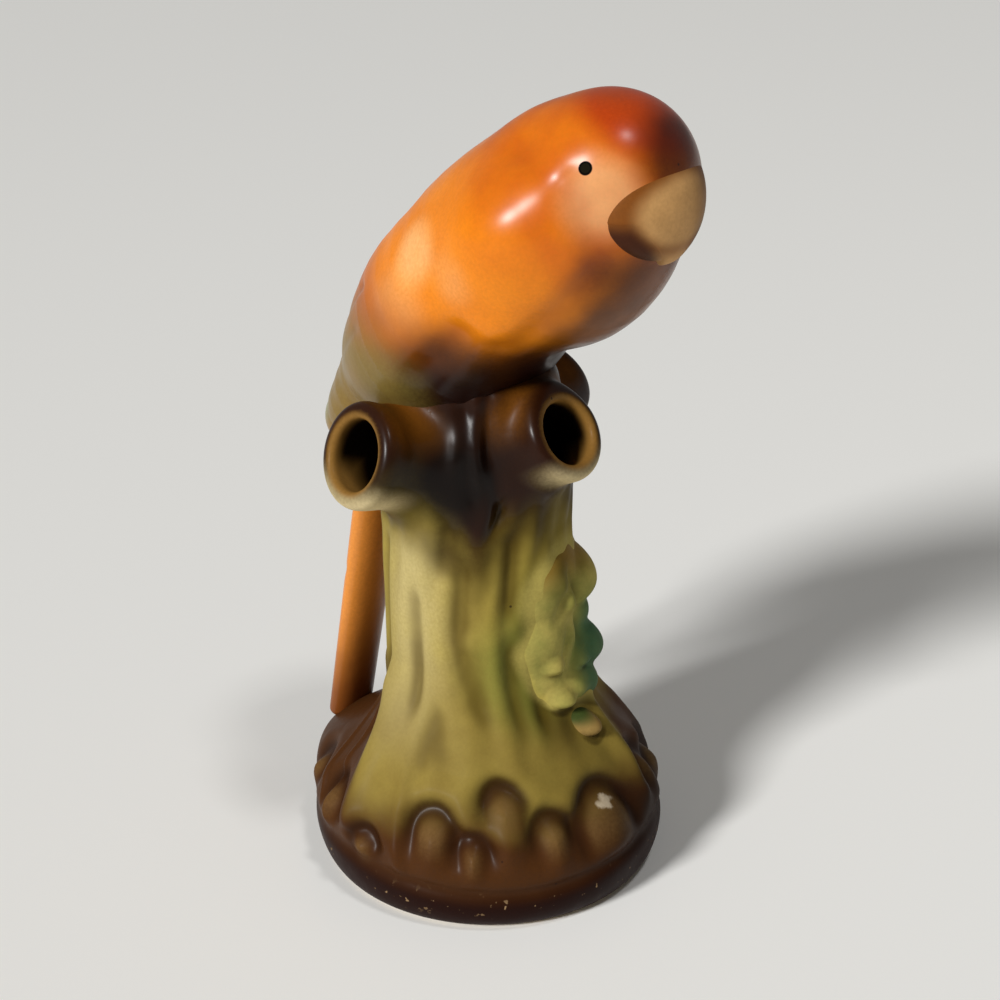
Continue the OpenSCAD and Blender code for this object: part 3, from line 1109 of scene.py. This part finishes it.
def maths(tree, kind, first, second=0.0, third=0.0):
    return add(tree, "Math", {0: first, 1: second, 2: third}, operation=kind).outputs[0]


def noise(tree, place, scale, detail):
    return add(tree, "TexNoise", {"Vector": place, "Scale": scale, "Detail": detail}).outputs[0]


def stretch(tree, value, low, high, out_low, out_high):
    """Value moved from one range to another and held inside it."""
    made = add(tree, "MapRange", {0: value, 1: low, 2: high, 3: out_low, 4: out_high})
    return made.outputs[0]


def stored(tree, mask):
    """Mask stored on the mesh."""
    return add(tree, "Attribute", {}, attribute_name=mask).outputs["Fac"]


def sprayed(tree, mask, drops):
    """Mask broken up along its fading edge by the drops of the spray."""
    share = stored(tree, mask)
    edge = maths(tree, "MULTIPLY", maths(tree, "SUBTRACT", 1.0, share), share)
    return maths(tree, "MULTIPLY_ADD", edge, drops, share)


def pinholes(tree, place):
    """Few dark pinholes in the glaze."""
    cells = add(tree, "TexVoronoi", {"Vector": place, "Scale": PINHOLE_SCALE, "Randomness": 1.0})
    near = stretch(tree, cells.outputs["Distance"], 0.025, 0.04, 1.0, 0.0)
    chance = add(tree, "SeparateColor", {0: cells.outputs["Color"]}).outputs[0]
    return maths(tree, "MULTIPLY", near, stretch(tree, chance, 0.7, 0.72, 0.0, 0.8))


def flecks(tree, place):
    """Small bare flecks where the rim is worn."""
    some = stretch(tree, noise(tree, place, FLECK_SCALE, 3.0), 0.66, 0.7, 0.0, 0.7)
    return maths(tree, "MULTIPLY", stored(tree, "worn"), some)


def dot(tree, place, middle, radius):
    """Crisp round dot of paint."""
    centre = [MM * c for c in middle]
    offset = add(tree, "VectorMath", {0: place, 1: centre}, operation="DISTANCE").outputs["Value"]
    return stretch(tree, offset, 0.94 * MM * radius, 1.06 * MM * radius, 1.0, 0.0)


def sprayed_colour(tree, clay, layers, clouds, cloud, grain):
    """Clouded colour of the clay under the layers of airbrushed colour, painted light and painted shade.
    """
    cloud_code, cloud_share = clouds
    colour = mix(tree, stretch(tree, cloud, 0.35, 0.7, 0.0, cloud_share), paint(clay), paint(cloud_code))
    wet = maths(tree, "ADD", maths(tree, "MULTIPLY", cloud, 2.0), grain)
    drops = stretch(tree, wet, 1.0, 2.0, -0.35, 0.35)
    for mask, code in layers:
        colour = mix(tree, sprayed(tree, mask.__name__, drops), colour, paint(code))
    return colour


def fired_colour(tree, place, colour, grain):
    """Colour under glaze that is thin on ridges, pools in creases and has grain, pinholes and wear."""
    thin = maths(tree, "MULTIPLY", stored(tree, "ridge"), 0.3)
    pooled = maths(tree, "MULTIPLY", stored(tree, "crease"), 0.85)
    colour = mix(tree, thin, colour, paint(THIN_GLAZE), "SOFT_LIGHT")
    colour = mix(tree, pooled, colour, paint(POOLED_GLAZE), "MULTIPLY")
    colour = mix(tree, stretch(tree, grain, 0.3, 0.7, 0.12, 0.0), colour, paint(GRAIN), "MULTIPLY")
    colour = mix(tree, pinholes(tree, place), colour, paint(PINHOLE))
    return mix(tree, flecks(tree, place), colour, paint(BARE_FLECK))


def add_shader(tree, place, colour, matt, cloud, shine):
    """Shiny coat over the colour, thinner where it is pale and left off where it is matt."""
    specular, dark_roughness, pale_roughness, coat, pale_coat = shine
    bright = add(tree, "RGBToBW", {0: colour}).outputs[0]
    dull = maths(tree, "MAXIMUM", matt, stretch(tree, bright, 0.03, 0.3, dark_roughness, pale_roughness))
    thick = maths(tree, "MINIMUM", coat, stretch(tree, bright, 0.01, 0.03, 1.0, pale_coat))
    height = noise(tree, place, WAVE_SCALE, 2.0)
    waves = add(tree, "Bump", {"Strength": 0.25, "Distance": 0.0005, "Height": height})
    shader = add(tree, "BsdfPrincipled", {
        "Base Color": colour,
        "Roughness": maths(tree, "ADD", dull, stretch(tree, cloud, 0.3, 0.7, 0.0, 0.1)),
        "Normal": waves.outputs[0],
        "Specular IOR Level": specular,
        "Coat Weight": maths(tree, "MINIMUM", maths(tree, "SUBTRACT", 1.0, matt), thick),
        "Coat Roughness": COAT_ROUGHNESS,
    })
    add(tree, "OutputMaterial", {"Surface": shader.outputs[0]})


def glaze(name, clay, layers, shine, dots=(), clouds=CLAY_CLOUD):
    """Glaze over airbrushed colour with painted light and shade, with matt dots of paint on top."""
    material = bpy.data.materials.new(name)
    material.use_nodes = True
    tree = material.node_tree
    tree.nodes.clear()
    place = add(tree, "TexCoord", {}).outputs["Object"]
    cloud = noise(tree, place, CLOUD_SCALE, 4.0)
    grain = noise(tree, place, GRAIN_SCALE, 2.0)
    colour = sprayed_colour(tree, clay, layers, clouds, cloud, grain)
    colour = fired_colour(tree, place, colour, grain)
    matt = 0.0
    for middle, radius, code in dots:
        painted = dot(tree, place, middle, radius)
        colour = mix(tree, painted, colour, paint(code))
        matt = maths(tree, "MAXIMUM", painted, matt)
    add_shader(tree, place, colour, matt, cloud, shine)
    return material


# Pieces
def placed(name, data):
    """New object in the scene."""
    made = bpy.data.objects.new(name, data)
    bpy.context.collection.objects.link(made)
    return made


def store_mask(data, name, values):
    data.attributes.new(name, "FLOAT", "POINT").data.foreach_set("value", values.astype(np.float32))


def piece(node, mesh, form, material, layers, cuts=()):
    """Object that stands for a CAD node, with its normals and masks worked out from its form."""
    points = mesh[0]
    gradient = slopes(form, points)
    steepness = np.linalg.norm(gradient, axis=1)
    normals = gradient / steepness[:, None]
    data = closed_mesh(node, mesh, normals, cuts)
    reach = 1.0
    outside = form((points + reach * normals).T) / steepness
    inside = form((points - reach * normals).T) / steepness
    store_mask(data, "crease", np.clip(1 - outside / reach, 0, 1))
    store_mask(data, "ridge", np.clip(1 + inside / reach, 0, 1))
    store_mask(data, "worn", bell(points[:, 2] - WORN_Z, 1.6))
    for mask, _ in layers:
        store_mask(data, mask.__name__, mask(points.T) * np.ones(len(points)))
    shape = placed(node + "_glazed", data)
    data.materials.append(material)
    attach(shape, "root")
    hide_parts(node)


def level_cut(height):
    """Side of a level plane, positive above it."""
    return lambda p: p[2] - height


def slanted_cut(height):
    """Side of a plane across the sprig that falls towards +X, positive above it."""
    return lambda p: p[2] + CUT_SLANT * p[0] - height


def stub_side(name):
    """Positive in the stub's own space beyond its socket."""
    def side(p):
        along, off = stub_place(p, name)
        return np.minimum(along - SOCKET_FLOOR, STUB_SPACE_R - off)
    return side


def build_stump():
    low_cut, high_cut = level_cut(BASE_TOP), level_cut(TRUNK_TOP)
    whole = surface(stump, *STUMP_BOX, BODY_STEP)
    base, rest = split(whole, low_cut)
    trunk, crown = split(rest, high_cut)
    base_glaze = glaze("base_glaze", KHAKI, STUMP_LAYERS, BASE_SHINE)
    bark_glaze = glaze("bark_glaze", KHAKI, STUMP_LAYERS, BARK_SHINE)
    stub_glaze = glaze("stub_glaze", KHAKI, STUMP_LAYERS, CROWN_SHINE)
    crown_glaze = glaze("crown_glaze", KHAKI, STUMP_LAYERS, CROWN_SHINE)
    trunk_cuts = [(low_cut, -UP), (high_cut, UP)]
    piece("root_base", base, stump, base_glaze, STUMP_LAYERS, [(low_cut, UP)])
    piece("trunk", trunk, stump, bark_glaze, STUMP_LAYERS, trunk_cuts)
    crown_cuts = [(high_cut, -UP)]
    for name in STUBS:
        side, axis = stub_side(name), Vector(stub_axis(name))
        crown, stub = split(crown, side)
        piece(name, stub, stump, stub_glaze, STUMP_LAYERS, [(side, -axis)])
        crown_cuts.append((side, axis))
    piece("stump_crown", crown, stump, crown_glaze, STUMP_LAYERS, crown_cuts)


def eye_dots():
    """Ring and middle of both eyes, as middle, radius, colour."""
    dots = []
    for side in (1, -1):
        middle = (side * EYE[0], EYE[1], EYE[2])
        dots += [(middle, EYE_R, EYE_RING), (middle, EYE_INNER * EYE_R, EYE_DOT)]
    return dots


def build_bird():
    def back_cut(p):
        return p[1] - TAIL_SEAT_Y

    neck_cut = level_cut(NECK_Z)
    whole = surface(bird, *BIRD_BOX, BODY_STEP)
    rest, head = split(whole, neck_cut)
    body, rump = split(rest, back_cut)
    head_glaze = glaze("head_glaze", ORANGE, BIRD_LAYERS, BIRD_SHINE, eye_dots(), ORANGE_CLOUD)
    body_glaze = glaze("body_glaze", ORANGE, BIRD_LAYERS, BIRD_SHINE, (), ORANGE_CLOUD)
    tail_glaze = glaze("tail_glaze", ORANGE, BIRD_LAYERS, BIRD_SHINE, (), ORANGE_CLOUD)
    body_cuts = [(neck_cut, UP), (back_cut, BACK)]
    piece("parrot_head", head, bird, head_glaze, BIRD_LAYERS, [(neck_cut, -UP)])
    piece("parrot_body", body, bird, body_glaze, BIRD_LAYERS, body_cuts)
    piece("tail", rump, bird, tail_glaze, BIRD_LAYERS, [(back_cut, -BACK)])


def build_beak():
    upper = surface(upper_beak, *BEAK_BOX, SMALL_STEP)
    lower = surface(lower_beak, *BEAK_BOX, SMALL_STEP)
    upper_glaze = glaze("beak_glaze", BEAK_TAN, BEAK_LAYERS, BEAK_SHINE)
    lower_glaze = glaze("lower_beak_glaze", BEAK_TAN, BEAK_LAYERS, BEAK_SHINE)
    piece("upper_beak", upper, upper_beak, upper_glaze, BEAK_LAYERS)
    piece("lower_beak", lower, lower_beak, lower_glaze, BEAK_LAYERS)


def build_sprig():
    across = Vector((np.cos(BERRY_CUT_TURN * DEGREE), np.sin(BERRY_CUT_TURN * DEGREE), 0))

    def side_cut(p):
        return p[0] * np.cos(BERRY_CUT_TURN * DEGREE) + p[1] * np.sin(BERRY_CUT_TURN * DEGREE)

    leaf_cut, fruit_cut, low_cut = (slanted_cut(z) for z in (LEAF_CUT_Z, FRUIT_CUT_Z, LOW_CUT_Z))
    bud_cut = level_cut(BUD_CUT_Z)
    whole = surface(sprig, *SPRIG_BOX, SMALL_STEP)
    rest, upper_leaf = split(whole, leaf_cut)
    fruits, lower_leaf = split(rest, fruit_cut)
    low, pair = split(fruits, low_cut)
    left_berry, right_berry = split(pair, side_cut)
    bud, low_berry = split(low, bud_cut)
    leaf = glaze("leaf_glaze", LEAF_YELLOW, LEAF_LAYERS, BARK_SHINE, (), LEAF_CLOUD)
    berry = glaze("berry_glaze", LEAF_YELLOW, LEAF_LAYERS, BARK_SHINE, (), LEAF_CLOUD)
    bud_paint = glaze("bud_glaze", BUD_TAN, BUD_LAYERS, BARK_SHINE)
    up = Vector((CUT_SLANT, 0, 1))
    lower_cuts = [(leaf_cut, up), (fruit_cut, -up)]
    left_cuts = [(fruit_cut, up), (low_cut, -up), (side_cut, across)]
    right_cuts = [(fruit_cut, up), (low_cut, -up), (side_cut, -across)]
    low_cuts = [(low_cut, up), (bud_cut, -UP)]
    piece("upper_leaf", upper_leaf, sprig, leaf, LEAF_LAYERS, [(leaf_cut, -up)])
    piece("lower_leaf", lower_leaf, sprig, leaf, LEAF_LAYERS, lower_cuts)
    piece("left_berry", left_berry, sprig, berry, LEAF_LAYERS, left_cuts)
    piece("right_berry", right_berry, sprig, berry, LEAF_LAYERS, right_cuts)
    piece("low_berry", low_berry, sprig, berry, LEAF_LAYERS, low_cuts)
    piece("bud", bud, sprig, bud_paint, BUD_LAYERS, [(bud_cut, UP)])


# Stage, in metres and degrees
FLOOR_HALF = 60
FLOOR_DROP = 0.0002
FLOOR_PAPER = "f4f3ef"
ROOM_WHITE = "f0efec"
ROOM_LIGHT = 0.12
ROOM_SEEN = 0.3
SUN_STRENGTH = 3.2
SUN_ANGLE = 12
SUN_HEADING = (0.85, -0.06, -0.53)
TOP_LIGHT_PLACE = (-0.08, -0.36, 0.9)
TOP_LIGHT_SIZE = 0.12
TOP_LIGHT_POWER = 1.6
TOP_LIGHT_TARGET = (0, 0, 0.075)
CAMERA_PLACE = (-0.235227, -0.202882, 0.205463)
CAMERA_TARGET = (0.00271, -0.003229, 0.067173)
CAMERA_LENS = 70.2
CAMERA_SENSOR = 36


def aim(thing, heading):
    """Turns a light or camera to look along a heading."""
    thing.rotation_euler = heading.to_track_quat("-Z", "Y").to_euler()


def build_floor():
    data = bpy.data.meshes.new("floor")
    corners = [(x * FLOOR_HALF, y * FLOOR_HALF, 0) for x, y in ((-1, -1), (1, -1), (1, 1), (-1, 1))]
    data.from_pydata(corners, [], [(0, 1, 2, 3)])
    floor = placed("floor", data)
    floor.location.z = -FLOOR_DROP
    material = bpy.data.materials.new("floor_paper")
    material.use_nodes = True
    shader = material.node_tree.nodes["Principled BSDF"]
    shader.inputs["Base Color"].default_value = paint(FLOOR_PAPER)
    shader.inputs["Roughness"].default_value = 0.8
    data.materials.append(material)


def build_world():
    """Even surroundings, brighter where they are seen straight or in a reflection."""
    world = bpy.data.worlds.new("studio")
    world.use_nodes = True
    tree = world.node_tree
    rays = add(tree, "LightPath", {})
    seen = maths(tree, "MAXIMUM", rays.outputs["Is Camera Ray"], rays.outputs["Is Glossy Ray"])
    seen = maths(tree, "MAXIMUM", seen, rays.outputs["Is Transmission Ray"])
    background = tree.nodes["Background"]
    background.inputs[0].default_value = paint(ROOM_WHITE)
    tree.links.new(stretch(tree, seen, 0.0, 1.0, ROOM_LIGHT, ROOM_SEEN), background.inputs[1])
    bpy.context.scene.world = world


def build_sun():
    """Main light from the camera's left, even over the whole floor."""
    data = bpy.data.lights.new("main", "SUN")
    data.energy = SUN_STRENGTH
    data.angle = SUN_ANGLE * DEGREE
    aim(placed("main", data), Vector(SUN_HEADING))


def build_top_light():
    """Small square light above that faces the object's middle."""
    data = bpy.data.lights.new("top", "AREA")
    data.size = TOP_LIGHT_SIZE
    data.energy = TOP_LIGHT_POWER
    light = placed("top", data)
    light.location = TOP_LIGHT_PLACE
    aim(light, Vector(TOP_LIGHT_TARGET) - light.location)


def build_camera():
    data = bpy.data.cameras.new("camera")
    data.sensor_width = CAMERA_SENSOR
    data.lens = CAMERA_LENS
    camera = placed("camera", data)
    camera.location = CAMERA_PLACE
    aim(camera, Vector(CAMERA_TARGET) - camera.location)
    bpy.context.scene.camera = camera


build_camera()
build_stump()
build_bird()
build_beak()
build_sprig()
build_floor()
build_world()
build_sun()
build_top_light()
bpy.context.scene.view_settings.view_transform = "Standard"
